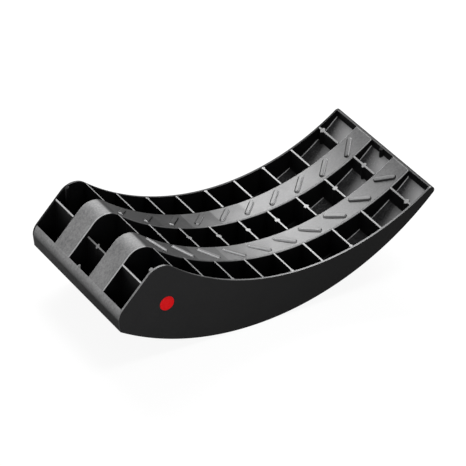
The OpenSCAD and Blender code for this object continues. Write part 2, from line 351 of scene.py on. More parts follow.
class LevellerStage(bpy.types.PropertyGroup):
    """Camera, lights and floor"""

    camera_azimuth: angle("Camera azimuth", "Turn of the camera from the badge's side", -32.5794)
    camera_elevation: angle("Camera elevation", "Height of the camera as an angle", 33.3003)
    camera_roll: angle("Camera roll", "Turn of the camera about its axis", 2.0382)
    camera_distance: length("Camera distance", "Distance from the camera to its target", 3.5309)
    camera_lens: FloatProperty(
        name="Lens", description="Focal length of the camera", default=247.978, unit="CAMERA"
    )
    target_x: length("Target along", "Place along the part that the camera looks at", -0.000551)
    target_z: length("Target height", "Height that the camera looks at", 0.055331)
    floor_size: length("Floor", "Width of the floor", 30.0)
    floor_colour: colour("Floor colour", "White of the floor", (0.9, 0.9, 0.9))
    floor_own: share("Floor white", "Share of the floor's own white, which lightens the shadow", 0.92)
    floor_gloss: share("Floor in a gloss", "Share of the floor's own white that a gloss shows", 0.5)
    room_light: share("Room light", "Light that comes from all round", 0.28)
    back_place: place("Back softbox", "Place of the softbox behind the part", (0.42, 1.1, 1.05))
    back_w: length("Back width", "Width of the softbox behind the part", 1.1)
    back_h: length("Back height", "Height of the softbox behind the part", 0.6)
    back_power: power("Back power", "Power of the softbox behind the part", 48.0)
    top_place: place("Top softbox", "Place of the softbox over the part", (0.27, -0.23, 1.3))
    top_w: length("Top width", "Width of the softbox over the part", 0.5)
    top_h: length("Top height", "Height of the softbox over the part", 0.5)
    top_power: power("Top power", "Power of the softbox over the part", 12.0)
    front_place: place("Front softbox", "Place of the softbox in front of the part", (-1.01, -0.91, 0.4))
    front_w: length("Front width", "Width of the softbox in front of the part", 0.6)
    front_h: length("Front height", "Height of the softbox in front of the part", 0.5)
    front_power: power("Front power", "Power of the softbox in front of the part", 4.0)


GROUPS = {
    "leveller_shape": LevellerShape,
    "leveller_rows": LevellerRows,
    "leveller_details": LevellerDetails,
    "leveller_finish": LevellerFinish,
    "leveller_stage": LevellerStage,
}


def on_line(start, along, centre, radius):
    """First point along a line that lies on a circle."""
    offset = start - centre
    half = offset.dot(along)
    return start + along * (-half - math.sqrt(half * half - offset.dot(offset) + radius * radius))


def on_circles(a, radius_a, b, radius_b):
    """Point where two circles cross, on the right of the way from the first to the second."""
    gap = (b - a).length
    way = (b - a) / gap
    reach = (radius_a * radius_a - radius_b * radius_b + gap * gap) / (2.0 * gap)
    return a + reach * way + math.sqrt(radius_a * radius_a - reach * reach) * Vector((way.y, -way.x))


def stand(point, y=0.0):
    """Point of the side view as a point in space."""
    return Vector((point[0], y, point[1]))


def normal_at(tilt):
    """Upward normal of an edge of the side view that rises at an angle."""
    return Vector((-math.sin(tilt), 0.0, math.cos(tilt)))


class SideView:
    """Points and directions of the side view, as length and height from the rocking point."""

    def __init__(self, shape):
        slope, lean = shape.slope_angle, shape.front_lean
        self.shape = shape
        self.rock = Vector((0.0, shape.rock_r))
        self.cradle = Vector((shape.cradle_shift, shape.cradle_h + shape.cradle_r))
        self.corner = Vector((-shape.nose_reach, shape.lip_h))
        self.slope_along = Vector((math.cos(slope), math.sin(slope)))
        self.slope_in = Vector((math.sin(slope), -math.cos(slope)))
        self.front_up = Vector((-math.sin(lean), math.cos(lean)))
        self.front_in = Vector((math.cos(lean), math.sin(lean)))
        bend = (self.front_in + self.slope_in) / (1.0 + self.front_in.dot(self.slope_in))
        self.lip = self.corner + shape.lip_r * bend
        crest_line = self.corner + shape.crest_r * self.slope_in
        self.crest = on_line(crest_line, self.slope_along, self.cradle, shape.cradle_r + shape.crest_r)
        self.tip = on_circles(
            self.rock, shape.rock_r - shape.tip_r, self.cradle, shape.cradle_r + shape.tip_r
        )
        front_below = self.corner - PAST * self.front_up
        self.foot = on_line(front_below, self.front_up, self.rock, shape.rock_r)
        self.at_crest = (self.cradle - self.crest).normalized()
        self.at_tip = (self.cradle - self.tip).normalized()
        self.out_tip = (self.tip - self.rock).normalized()
        self.crest_from = self.crest.x - shape.crest_r * self.slope_in.x
        self.crest_to = self.crest.x + shape.crest_r * self.at_crest.x
        self.lip_inner = -shape.nose_reach + shape.lip_t
        self.tip_inner = self.tip.x + shape.tip_r - shape.tip_t
        self.slope_start = self.rim(self.lip_inner - SPARE)

    def rest(self):
        """Turn and shift that take the side view's frame to the part at rest."""
        lift = Matrix.Translation(UP * self.shape.rock_r)
        tilted = lift @ Matrix.Rotation(-self.shape.rest_tilt, 4, "Y") @ lift.inverted()
        low = (tilted @ stand(self.lip)).x - self.shape.lip_r
        high = (tilted @ stand(self.tip)).x + self.shape.tip_r
        return Matrix.Translation(ALONG * -(low + high) / 2.0) @ tilted

    def rim_tilt(self, x):
        """Angle at which the upper edge rises at a place along the length."""
        if x < self.crest_from:
            return self.shape.slope_angle
        if x < self.crest_to:
            return -math.asin((x - self.crest.x) / self.shape.crest_r)
        return math.asin((x - self.cradle.x) / self.shape.cradle_r)

    def rim(self, x):
        """Point of the upper edge at a place along the length."""
        if x < self.crest_from:
            return self.corner + self.slope_along * (x - self.corner.x) / self.slope_along.x
        tilt = self.rim_tilt(x)
        if x < self.crest_to:
            return Vector((x, self.crest.y + self.shape.crest_r * math.cos(tilt)))
        return Vector((x, self.cradle.y - self.shape.cradle_r * math.cos(tilt)))

    def ground_tilt(self, x):
        """Angle at which the underside rises at a place along the length."""
        return math.asin(x / self.shape.rock_r)

    def ground(self, x, inset=0.0):
        """Point of the underside, or of a curve inside it, at a place along the length."""
        radius = self.shape.rock_r - inset
        return Vector((x, self.rock.y - math.sqrt(radius * radius - x * x)))


class Rows:
    """Places across the width, and the places of the ribs along the length."""

    def __init__(self, rows):
        self.side = (CAD_BOX[1].y - CAD_BOX[0].y) / 2.0
        self.wall = self.side - rows.side_t
        self.inner = rows.middle_w / 2.0
        self.outer = self.inner + rows.tread_w
        self.tread = (self.inner + self.outer) / 2.0
        self.outer_boss = self.side - rows.outer_boss_in
        self.wall_boss = self.side - rows.wall_boss_in
        self.cells = {
            "left": (-self.wall, -self.outer),
            "middle": (-self.inner, self.inner),
            "right": (self.outer, self.wall),
        }
        self.stops = (-self.outer, -self.inner, self.inner, self.outer, self.wall)
        self.ribs = [k * rows.rib_pitch - rows.first_rib for k in range(rows.rib_count)]

    def in_cells(self, y):
        """Whether a place across the width lies over a row of cells."""
        return any(low < y < high for low, high in self.cells.values())


def turn(bm, geom, centre, swing, steps, axis=ACROSS):
    """Turns points and edges about an axis and returns the ones at the end of the turn."""
    made = bmesh.ops.spin(bm, geom=geom, cent=centre, axis=axis, angle=swing, steps=steps, use_merge=False)
    return made["geom_last"]


def draw(bm, geom, way):
    """Draws points and edges along a straight way and returns the ones at its end."""
    made = bmesh.ops.spin(
        bm, geom=geom, cent=Vector(), axis=ACROSS, dvec=way, angle=0.0, steps=1, use_merge=False
    )
    return made["geom_last"]


def weld(bm):
    """Makes one point of those that lie together."""
    bmesh.ops.remove_doubles(bm, verts=bm.verts, dist=MERGE)


def fill(bm, edges):
    """Closes a loop of edges with a face."""
    return bmesh.ops.contextual_create(bm, geom=edges)["faces"][0]


def pick(geom, kind):
    """Points, edges or faces among the parts of a mesh."""
    return [item for item in geom if isinstance(item, kind)]


def everything(bm):
    """All points, edges and faces of a mesh."""
    return bm.verts[:] + bm.edges[:] + bm.faces[:]


def middle_of(edge):
    """Middle of an edge."""
    return (edge.verts[0].co + edge.verts[1].co) / 2.0


def is_long(edge):
    """Whether an edge runs across the width."""
    return abs(edge.verts[0].co.y - edge.verts[1].co.y) > NEAR


def lies_at(edge, axis, level):
    """Whether both ends of an edge lie at a level on one of the axes."""
    return all(abs(vertex.co[axis] - level) < NEAR for vertex in edge.verts)


def raise_face(bm, face, way):
    """Draws a face along a straight way into a solid, and returns the face at its end."""
    made = bmesh.ops.extrude_face_region(bm, geom=[face] + face.edges[:] + face.verts[:])["geom"]
    bmesh.ops.translate(bm, vec=way, verts=pick(made, BMVert))
    return pick(made, BMFace)[0]


def cut_off(bm, point, normal):
    """Cuts away what lies beyond a plane and returns the edges along the cut."""
    cut = bmesh.ops.bisect_plane(
        bm, geom=everything(bm), dist=MERGE, plane_co=point, plane_no=normal, clear_outer=True
    )
    return pick(cut["geom_cut"], BMEdge)


def trim(bm, point, normal):
    """Cuts away what lies beyond a plane, closes the cut and returns the edges round it."""
    edges = cut_off(bm, point, normal)
    bmesh.ops.holes_fill(bm, edges=edges, sides=0)
    return edges


def trim_ends(bm, view):
    """Cuts a piece off at the inner faces of the nose lip and the tip wall."""
    trim(bm, ALONG * view.lip_inner, -ALONG)
    trim(bm, ALONG * view.tip_inner, ALONG)


def round_off(bm, geom, radius, steps=ROUND_STEPS, affect="EDGES"):
    """Rounds edges or corners off."""
    bmesh.ops.bevel(
        bm,
        geom=geom,
        offset=radius,
        offset_type="OFFSET",
        segments=steps,
        profile=0.5,
        affect=affect,
        clamp_overlap=True,
        material=-1,
    )


def take_in(bm, other):
    """Adds a mesh to another one."""
    carrier = bpy.data.meshes.new("carrier")
    other.to_mesh(carrier)
    other.free()
    bm.from_mesh(carrier)
    bpy.data.meshes.remove(carrier)


def over_crest(bm, end, view):
    """Turns points and edges over the crest and down through the cradle."""
    end = turn(bm, end, stand(view.crest), (-view.slope_in).angle_signed(view.at_crest), CREST_STEPS)
    return turn(bm, end, stand(view.cradle), (-view.at_crest).angle_signed(-view.at_tip), CRADLE_STEPS)


def side_face(bm, view, y):
    """Draws the whole edge of the side view at a place across the width, and fills it."""
    shape = view.shape
    lip_start = view.lip - shape.lip_r * view.front_in
    lip_end = view.lip - shape.lip_r * view.slope_in
    crest_start = view.crest - shape.crest_r * view.slope_in
    end = [bm.verts.new(stand(view.foot, y))]
    end = draw(bm, end, stand(lip_start - view.foot))
    end = turn(bm, end, stand(view.lip), (-view.front_in).angle_signed(-view.slope_in), LIP_STEPS)
    end = draw(bm, end, stand(crest_start - lip_end))
    end = over_crest(bm, end, view)
    end = turn(bm, end, stand(view.tip), view.at_tip.angle_signed(view.out_tip), TIP_STEPS)
    turn(bm, end, stand(view.rock), view.out_tip.angle_signed(view.foot - view.rock), ROCK_STEPS)
    weld(bm)
    return fill(bm, bm.edges[:])


def wall_face(bm, view, y, inset):
    """Fills the side view of an upright wall, from the underside to a curve inside the upper edge."""
    shape = view.shape
    crest_r = shape.crest_r - inset
    start = view.slope_start + inset * view.slope_in
    crest_start = view.crest - crest_r * view.slope_in
    tip_end = view.cradle - (shape.cradle_r + inset) * view.at_tip
    tip_low = view.rock + shape.rock_r * view.out_tip
    nose_low = view.ground(start.x)
    end = [bm.verts.new(stand(start, y))]
    end = draw(bm, end, stand(crest_start - start))
    end = over_crest(bm, end, view)
    end = draw(bm, end, stand(tip_low - tip_end))
    end = turn(bm, end, stand(view.rock), view.out_tip.angle_signed(nose_low - view.rock), ROCK_STEPS)
    draw(bm, end, stand(start - nose_low))
    weld(bm)
    return fill(bm, bm.edges[:])


def add_boss(bm, view, rows, details, spot, diameter, wall, outward):
    """Adds a round boss that stands on a cell floor, reaches the upper edge and ends at a wall's face."""
    x, y = spot
    boss = bmesh.new()
    top, low = view.rim(x), view.ground(x, rows.floor_t)
    middle = (top + low) / 2.0
    bmesh.ops.create_cone(
        boss,
        cap_ends=True,
        cap_tris=False,
        segments=2 * BOSS_STEPS,
        radius1=diameter / 2.0,
        radius2=diameter / 2.0,
        depth=top.y - low.y + PAST,
        matrix=Matrix.Translation(stand(middle, y)),
    )
    trim(boss, stand(low), -normal_at(view.ground_tilt(x)))
    rim = trim(boss, stand(top), normal_at(view.rim_tilt(x)))
    round_off(boss, rim, details.rib_round)
    trim(boss, wall, outward)
    take_in(bm, boss)


def slant(face, view):
    """How nearly a face lies along the upper edge over it, from one along it to nought upright."""
    x = face.calc_center_median().x
    return face.normal.dot(normal_at(view.rim_tilt(min(max(x, view.foot.x), view.tip.x))))


def finish_faces(bm, view, side=0.0, lean=RIM_SHARE):
    """Gives faces along the upper edge a second finish, and those inside a side wall a third one."""
    bmesh.ops.recalc_face_normals(bm, faces=bm.faces)
    for face in bm.faces:
        if slant(face, view) > lean:
            face.material_index = SECOND
        elif face.normal.y * side < -RIM_SHARE:
            face.material_index = THIRD


def black_piece(context, bm, view, name, *kinds):
    """Stands a black moulding in the frame, in place of the node of that name."""
    finishes = [plastic(context, kind) for kind in kinds]
    make_piece(bm, view, f"{name}_moulding", finishes, BLACK_SLOT, name)


def make_piece(bm, view, name, materials, slot, *nodes):
    """Stands a finished mesh in the frame, in place of the nodes that it replaces."""
    weld(bm)
    bmesh.ops.transform(bm, matrix=view.rest(), verts=bm.verts)
    bmesh.ops.recalc_face_normals(bm, faces=bm.faces)
    mesh = bpy.data.meshes.new(name)
    bm.to_mesh(mesh)
    bm.free()
    mesh.shade_smooth()
    mesh.set_sharp_from_angle(angle=SHARP)
    for material in materials:
        mesh.materials.append(material)
    piece = bpy.data.objects.new(name, mesh)
    bpy.context.scene.collection.objects.link(piece)
    piece.modifiers.new("Flat faces", "WEIGHTED_NORMAL").keep_sharp = True
    check_fit(piece, nodes)
    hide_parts(*nodes)
    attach(piece, BODY)


def check_fit(piece, nodes):
    """Stops the script if a piece leaves the boxes of the nodes that it replaces."""
    boxes = [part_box(node) for node in nodes]
    for axis in (X, Y, Z):
        places = [vertex.co[axis] for vertex in piece.data.vertices]
        low = min(box[0][axis] for box in boxes)
        high = max(box[1][axis] for box in boxes)
        if abs(min(places) - low) > FIT or abs(max(places) - high) > FIT:
            raise RuntimeError(f"{piece.name} doesn't fit {nodes} on axis {axis}")


def settings(context):
    """Property groups of the scene, and the side view and rows that they give."""
    scene = context.scene
    view = SideView(scene.leveller_shape)
    return view, scene.leveller_rows, Rows(scene.leveller_rows), scene.leveller_details


def feed(tree, value, socket):
    """Gives a socket its value, written out or taken from another node."""
    if isinstance(value, bpy.types.NodeSocket):
        tree.links.new(value, socket)
    else:
        socket.default_value = value


def add_node(tree, kind, **values):
    """Adds a node to a tree and gives its inputs their values by name."""
    made = tree.nodes.new(kind)
    for name, value in values.items():
        feed(tree, value, made.inputs[name.replace("_", " ")])
    return made


def reckon(tree, operation, *values):
    """Reckons with values, each written out or taken from another node."""
    step = tree.nodes.new("ShaderNodeMath")
    step.operation = operation
    for value, socket in zip(values, step.inputs):
        feed(tree, value, socket)
    return step.outputs["Value"]


def blend(tree, first, second, share_of_first):
    """Adds two values, weighed by a share."""
    rest = reckon(tree, "MULTIPLY", second, 1.0 - share_of_first)
    return reckon(tree, "MULTIPLY_ADD", first, share_of_first, rest)


def mix_colours(tree, factor, first, second):
    """Mixes two colours, each written out or taken from another node."""
    mixed = tree.nodes.new("ShaderNodeMix")
    mixed.data_type = "RGBA"
    feed(tree, factor, mixed.inputs["Factor"])
    for value, name in ((first, "A"), (second, "B")):
        taken = isinstance(value, bpy.types.NodeSocket)
        feed(tree, value if taken else (*value, 1.0), mixed.inputs[name])
    return mixed.outputs["Result"]


class Surface:
    """Tone and sheen of a plastic with its mottle, laid out as nodes."""

    def __init__(self, tree, tone, mottle, rough):
        self.tree = tree
        coords = tree.nodes.new("ShaderNodeTexCoord").outputs["Object"]
        self.cloud, patch, self.grain = (
            add_node(tree, "ShaderNodeTexNoise", Vector=coords, **noise).outputs["Fac"]
            for noise in (CLOUDS, PATCHES, GRAIN)
        )
        parts = add_node(tree, "ShaderNodeSeparateXYZ", Vector=coords)
        self.along, self.across, self.height = parts.outputs
        uneven = blend(tree, self.cloud, patch, CLOUD_SHARE)
        self.mottled = self.between(uneven, *MOTTLE_LIMITS)
        self.tone = mix_colours(tree, self.mottled, tone, mottle)
        self.sheen = self.between(uneven, *MOTTLE_LIMITS, rough - SHEEN_SWING, rough + SHEEN_SWING)

    def between(self, value, low, high, to_low=0.0, to_high=1.0):
        """Spreads what lies between two limits over the way between two others."""
        limits = {"From_Min": low, "From_Max": high, "To_Min": to_low, "To_Max": to_high}
        return add_node(self.tree, "ShaderNodeMapRange", Value=value, **limits).outputs["Result"]

    def paint(self, factor, tone):
        """Lays another tone over the one so far."""
        self.tone = mix_colours(self.tree, factor, self.tone, tone)

    def dull(self, factor, rough):
        """Lays another roughness over the one so far."""
        mixed = add_node(self.tree, "ShaderNodeMix", Factor=factor, A=self.sheen, B=rough)
        self.sheen = mixed.outputs["Result"]


def tread_wear_and_light(surface, finish):
    """Dulls the tread under the crest and paints shade there, paints a highlight on the slope, and paints
    shade at the foot of the nose.
    """
    tree, along = surface.tree, surface.along
    start = surface.between(along, finish.matt_from, finish.matt_full)
    drift = surface.between(surface.cloud, *DRIFT_LIMITS, -finish.matt_drift, finish.matt_drift)
    skewed = reckon(tree, "MULTIPLY_ADD", surface.across, -finish.matt_skew, drift)
    stepped = reckon(tree, "SNAP", along, finish.sink_pitch)
    reach = reckon(tree, "ADD", blend(tree, stepped, along, finish.sink_share), skewed)
    matt = reckon(tree, "MULTIPLY", start, surface.between(reach, finish.matt_end, finish.matt_fade))
    surface.dull(surface.between(along, finish.matt_full, finish.matt_from), finish.nose_rough)
    surface.paint(matt, finish.matt_shade_colour)
    surface.dull(matt, finish.matt_rough)
    grey = mix_colours(tree, surface.mottled, finish.slope_highlight_grey, finish.slope_highlight_pale)
    front = surface.between(surface.height, finish.foot_h, finish.front_h)
    grey = mix_colours(tree, front, finish.cell_colour, grey)
    surface.paint(surface.between(along, finish.slope_highlight_end, finish.slope_highlight_full), grey)


def paint_lip_shade(surface, finish):
    """Paints shade at the foot of the lip."""
    surface.paint(surface.between(surface.height, finish.front_h, finish.foot_h), finish.cell_colour)


def paint_edge_light(surface, finish):
    """Paints a highlight on the edges on the slope, and paints shade on them under the crest."""
    surface.paint(surface.between(surface.along, finish.matt_end, finish.edge_shade_to), finish.edge_shade_black)
    surface.paint(surface.between(surface.along, finish.matt_full, finish.matt_from), finish.edge_highlight_grey)


def paint_bar_highlight(surface, finish):
    """Paints a highlight on the sides of the bars under the crest."""
    highlit = surface.between(surface.along, finish.bar_highlight_end, finish.bar_highlight_full)
    surface.paint(highlit, finish.bar_highlight_colour)


def paint_floor_light(surface, finish):
    """Paints a pool of light on the badge's side of the cell floors toward the tip."""
    tree, pitch = surface.tree, finish.row_pitch
    in_row = reckon(tree, "WRAP", surface.across, pitch / 2.0, -pitch / 2.0)
    past = surface.between(surface.along, finish.floor_light_full, finish.floor_light_full + pitch)
    skewed = reckon(tree, "MULTIPLY_ADD", past, -finish.floor_light_skew * pitch, in_row)
    beside = surface.between(skewed, 0.0, -2.0 * finish.floor_light_side)
    toward = surface.between(surface.along, finish.floor_light_from, finish.floor_light_full)
    surface.paint(reckon(tree, "MULTIPLY", beside, toward), finish.floor_light_colour)


def paint_wall_shade(surface, finish):
    """Paints shade on the side walls toward the tip."""
    surface.paint(surface.between(surface.along, finish.wall_shade_from, finish.wall_shade_full), finish.wall_painted_shade)


LIGHT_AND_WEAR = {
    "tread": tread_wear_and_light,
    "lip": paint_lip_shade,
    "edge": paint_edge_light,
    "bar": paint_bar_highlight,
    "floor": paint_floor_light,
    "wall": paint_wall_shade,
}


def plastic(context, kind):
    """Moulded plastic in one of the finishes, with a fine grain and the finish's own painted light and
    shade and dulling.
    """
    name = f"{kind}_plastic"
    if name in bpy.data.materials:
        return bpy.data.materials[name]
    finish = context.scene.leveller_finish
    tone, mottle, rough, gloss, grain = (getattr(finish, f"{kind}_{part}") for part in FINISH_PARTS)
    material = bpy.data.materials.new(name)
    material.use_nodes = True
    tree = material.node_tree
    surface = Surface(tree, tone, mottle, rough)
    if kind in LIGHT_AND_WEAR:
        LIGHT_AND_WEAR[kind](surface, finish)
    bump = add_node(tree, "ShaderNodeBump", Strength=grain, Distance=GRAIN_DEPTH, Height=surface.grain)
    shader = tree.nodes["Principled BSDF"]
    feed(tree, surface.tone, shader.inputs["Base Color"])
    feed(tree, surface.sheen, shader.inputs["Roughness"])
    feed(tree, bump.outputs["Normal"], shader.inputs["Normal"])
    shader.inputs["Specular IOR Level"].default_value = gloss
    return material


class LEVELLER_OT_stage(bpy.types.Operator):
    """Sets the camera, the soft studio light and the white floor"""

    bl_idname = "leveller.stage"
    bl_label = "Stage"

    def execute(self, context):
        scene = context.scene
        stage = scene.leveller_stage
        scene.view_settings.view_transform = "Standard"
        self.add_camera(scene, stage)
        for name in SOFTBOXES:
            self.add_softbox(scene, stage, name)
        self.add_floor(scene, stage)
        self.light_room(scene, stage)
        return {"FINISHED"}

    def add_camera(self, scene, stage):
        """Sets the camera up and aims it at the part."""
        yaw, pitch = stage.camera_azimuth, stage.camera_elevation
        right = Vector((math.cos(yaw), math.sin(yaw), 0.0))
        back = Vector((math.sin(yaw) * math.cos(pitch), -math.cos(yaw) * math.cos(pitch), math.sin(pitch)))
        up = back.cross(right)
        level = Matrix((right, up, back)).transposed().to_4x4()
        target = Vector((stage.target_x, 0.0, stage.target_z))
        camera = bpy.data.objects.new("camera", bpy.data.cameras.new("camera"))
        camera.data.lens = stage.camera_lens
        camera.matrix_world = (
            Matrix.Translation(target + back * stage.camera_distance)
            @ level
            @ Matrix.Rotation(stage.camera_roll, 4, "Z")
        )
        scene.collection.objects.link(camera)
        scene.camera = camera

    def add_softbox(self, scene, stage, name):
        """Hangs a softbox in its place, turned to the part."""
        lamp = bpy.data.lights.new(f"{name}_softbox", "AREA")
        lamp.shape = "RECTANGLE"
        lamp.size = getattr(stage, f"{name}_w")
        lamp.size_y = getattr(stage, f"{name}_h")
        lamp.energy = getattr(stage, f"{name}_power")
        softbox = bpy.data.objects.new(lamp.name, lamp)
        spot = Vector(getattr(stage, f"{name}_place"))
        aim = UP * stage.target_z - spot
        softbox.matrix_world = Matrix.Translation(spot) @ aim.to_track_quat("-Z", "Y").to_matrix().to_4x4()
        softbox.visible_camera = False
        scene.collection.objects.link(softbox)

    def add_floor(self, scene, stage):
        """Lays a white floor that keeps a light shadow."""
        bm = bmesh.new()
        bmesh.ops.create_grid(bm, x_segments=1, y_segments=1, size=stage.floor_size / 2.0)
        mesh = bpy.data.meshes.new("floor")
        bm.to_mesh(mesh)
        bm.free()
        material = bpy.data.materials.new("floor_white")
        material.use_nodes = True
        tree = material.node_tree
        tree.nodes.clear()
        matt = add_node(tree, "ShaderNodeBsdfDiffuse", Color=(*stage.floor_colour, 1.0))
        white = add_node(tree, "ShaderNodeEmission", Strength=FULL)
        out = tree.nodes.new("ShaderNodeOutputMaterial")
        show_white(tree, matt, white, seen_rays(tree, stage.floor_own, stage.floor_gloss), out)
        mesh.materials.append(material)
        floor = bpy.data.objects.new("floor", mesh)
        scene.collection.objects.link(floor)

    def light_room(self, scene, stage):
        """Fills the room with a low light, and shows it white."""
        world = bpy.data.worlds.new("room")
        world.use_nodes = True
        tree = world.node_tree
        tree.nodes.clear()
        low = add_node(tree, "ShaderNodeBackground", Color=WHITE, Strength=stage.room_light)
        white = add_node(tree, "ShaderNodeBackground", Color=WHITE, Strength=FULL)
        out = tree.nodes.new("ShaderNodeOutputWorld")
        show_white(tree, low, white, seen_rays(tree, FULL, FULL), out)
        scene.world = world


def seen_rays(tree, plain, gloss):
    """Share of its own white that a surface shows: to the camera, and in a gloss or a glass."""
    rays = tree.nodes.new("ShaderNodeLightPath").outputs
    shown = reckon(tree, "MULTIPLY", rays["Is Camera Ray"], plain)
    for ray in ("Is Glossy Ray", "Is Transmission Ray"):
        shown = reckon(tree, "MAXIMUM", shown, reckon(tree, "MULTIPLY", rays[ray], gloss))
    return shown


def show_white(tree, lit, white, seen, out):
    """Shows the white of a surface or a room where it is seen, and its lit shade elsewhere."""
    mixed = add_node(tree, "ShaderNodeMixShader", Fac=seen)
    feed(tree, lit.outputs[0], mixed.inputs[1])
    feed(tree, white.outputs[0], mixed.inputs[2])
    feed(tree, mixed.outputs["Shader"], out.inputs["Surface"])


def badge_ring(bm, details, y, gap=0.0, filled=True):
    """Draws the edge of the badge, or a ring round it, at a place across the width."""
    centre = Vector((-details.badge_reach, y, details.badge_h))
    return bmesh.ops.create_circle(
        bm,
        cap_ends=filled,
        segments=BADGE_STEPS,
        radius=details.badge_d / 2.0 + gap,
        matrix=Matrix.Translation(centre) @ Matrix.Rotation(QUARTER_TURN, 4, "X"),
    )["verts"]


class LEVELLER_OT_side_walls(bpy.types.Operator):
    """Moulds the two crescent side walls, with the badge's recess and the crest bosses"""

    bl_idname = "leveller.side_walls"
    bl_label = "Side walls"

    def execute(self, context):
        view, rows, places, details = settings(context)
        for name, side in SIDES.items():
            bm = bmesh.new()
            face = side_face(bm, view, side * places.side)
            raise_face(bm, face, ACROSS * -side * rows.side_t)
            rims = [edge for edge in bm.edges if self.is_rim(edge, view, places, side)]
            round_off(bm, rims, details.rim_round)
            if side < 0.0:
                self.sink_recess(bm, places, details)
            out = ACROSS * side
            y = side * (places.wall - rows.small_boss_d / CREST_BOSS_PARTS)
            spot = (view.crest.x - rows.crest_boss_reach, y)
            add_boss(bm, view, rows, details, spot, rows.small_boss_d, out * places.wall, out)
            finish_faces(bm, view, side)
            # The faces inside a wall take the darkest finish, painted shade in the cells; the near wall's
            # rim takes the tread's finish and the far wall's rim the darkest one, a painted shade
            top = "tread" if side < 0.0 else "cell"
            black_piece(context, bm, view, f"{name}_side_wall", "wall", top, "cell")
        return {"FINISHED"}

    def is_rim(self, edge, view, places, side):
        """Whether an edge runs round the outside, or along the top of the inside over the cells."""
        if lies_at(edge, Y, side * places.side):
            return True
        if not lies_at(edge, Y, side * places.wall):
            return False
        middle = middle_of(edge)
        depth = view.shape.rock_r - (middle - stand(view.rock, middle.y)).length
        return depth > SPARE and view.lip_inner < middle.x < view.tip_inner

    def sink_recess(self, bm, places, details):
        """Sinks a round recess into the outside of the left wall."""
        outside = [face for face in bm.faces if abs(face.calc_center_median().y + places.side) < NEAR]
        face = max(outside, key=lambda item: item.calc_area())
        border = face.edges[:]
        bmesh.ops.delete(bm, geom=[face], context="FACES_ONLY")
        ring = badge_ring(bm, details, -places.side, details.badge_gap, filled=False)
        rim = [edge for edge in bm.edges if all(vertex in ring for vertex in edge.verts)]
        bmesh.ops.triangle_fill(bm, use_beauty=True, use_dissolve=False, edges=border + rim)
        made = bmesh.ops.extrude_edge_only(bm, edges=rim)["geom"]
        bmesh.ops.translate(bm, vec=ACROSS * details.badge_t, verts=pick(made, BMVert))
        depth = details.badge_t - places.side
        fill(bm, [edge for edge in pick(made, BMEdge) if lies_at(edge, Y, depth)])
        round_off(bm, rim, details.recess_round)


def end_wall(view, places, x, inward):
    """Moulds the end of the part up to a place along the length, with edges between the rows."""
    bm = bmesh.new()
    side_face(bm, view, -places.wall)
    cut_off(bm, ALONG * x, inward)
    face = bm.faces[:][0]
    y = -places.wall
    for stop in places.stops:
        face = raise_face(bm, face, ACROSS * (stop - y))
        y = stop
    return bm


class LEVELLER_OT_nose_lip(bpy.types.Operator):
    """Moulds the rounded front wall between the side walls"""

    bl_idname = "leveller.nose_lip"
    bl_label = "Nose lip"

    def execute(self, context):
        view, rows, places, details = settings(context)
        bm = end_wall(view, places, view.lip_inner, ALONG)
        inner = [edge for edge in bm.edges if self.is_inner(edge, view, places)]
        foot = [edge for edge in bm.edges if self.is_foot(edge, view)]
        round_off(bm, inner + foot, details.rib_round)
        bmesh.ops.recalc_face_normals(bm, faces=bm.faces)
        # The rounding along the lip's inner edge takes the pale edge finish, a painted highlight
        for face in bm.faces:
            near = face.calc_center_median().x > view.lip_inner - details.rib_round
            if near and DECK_SHARE < slant(face, view) < RIB_SHARE:
                face.material_index = SECOND
        spot = (view.lip_inner, 0.0)
        add_boss(bm, view, rows, details, spot, rows.small_boss_d, ALONG * view.lip_inner, -ALONG)
        black_piece(context, bm, view, "nose_lip", "lip", "edge")
        return {"FINISHED"}

    def is_inner(self, edge, view, places):
        """Whether an edge runs along the top of the lip's inner face, over the cells."""
        middle = middle_of(edge)
        at_face = lies_at(edge, X, view.lip_inner) and is_long(edge)
        return at_face and middle.z > view.lip.y and places.in_cells(middle.y)

    def is_foot(self, edge, view):
        """Whether an edge runs across the width along the foot of the lip."""
        return lies_at(edge, X, view.foot.x) and lies_at(edge, Z, view.foot.y)


class LEVELLER_OT_tip_wall(bpy.types.Operator):
    """Moulds the rounded end wall between the side walls"""

    bl_idname = "leveller.tip_wall"
    bl_label = "Tip wall"

    def execute(self, context):
        view, rows, places, details = settings(context)
        bm = end_wall(view, places, view.tip_inner, -ALONG)
        spot = (view.tip_inner, 0.0)
        add_boss(bm, view, rows, details, spot, rows.boss_d, ALONG * view.tip_inner, ALONG)
        # The tip wall takes the darkest finish, painted shade
        black_piece(context, bm, view, "tip_wall", "cell")
        return {"FINISHED"}


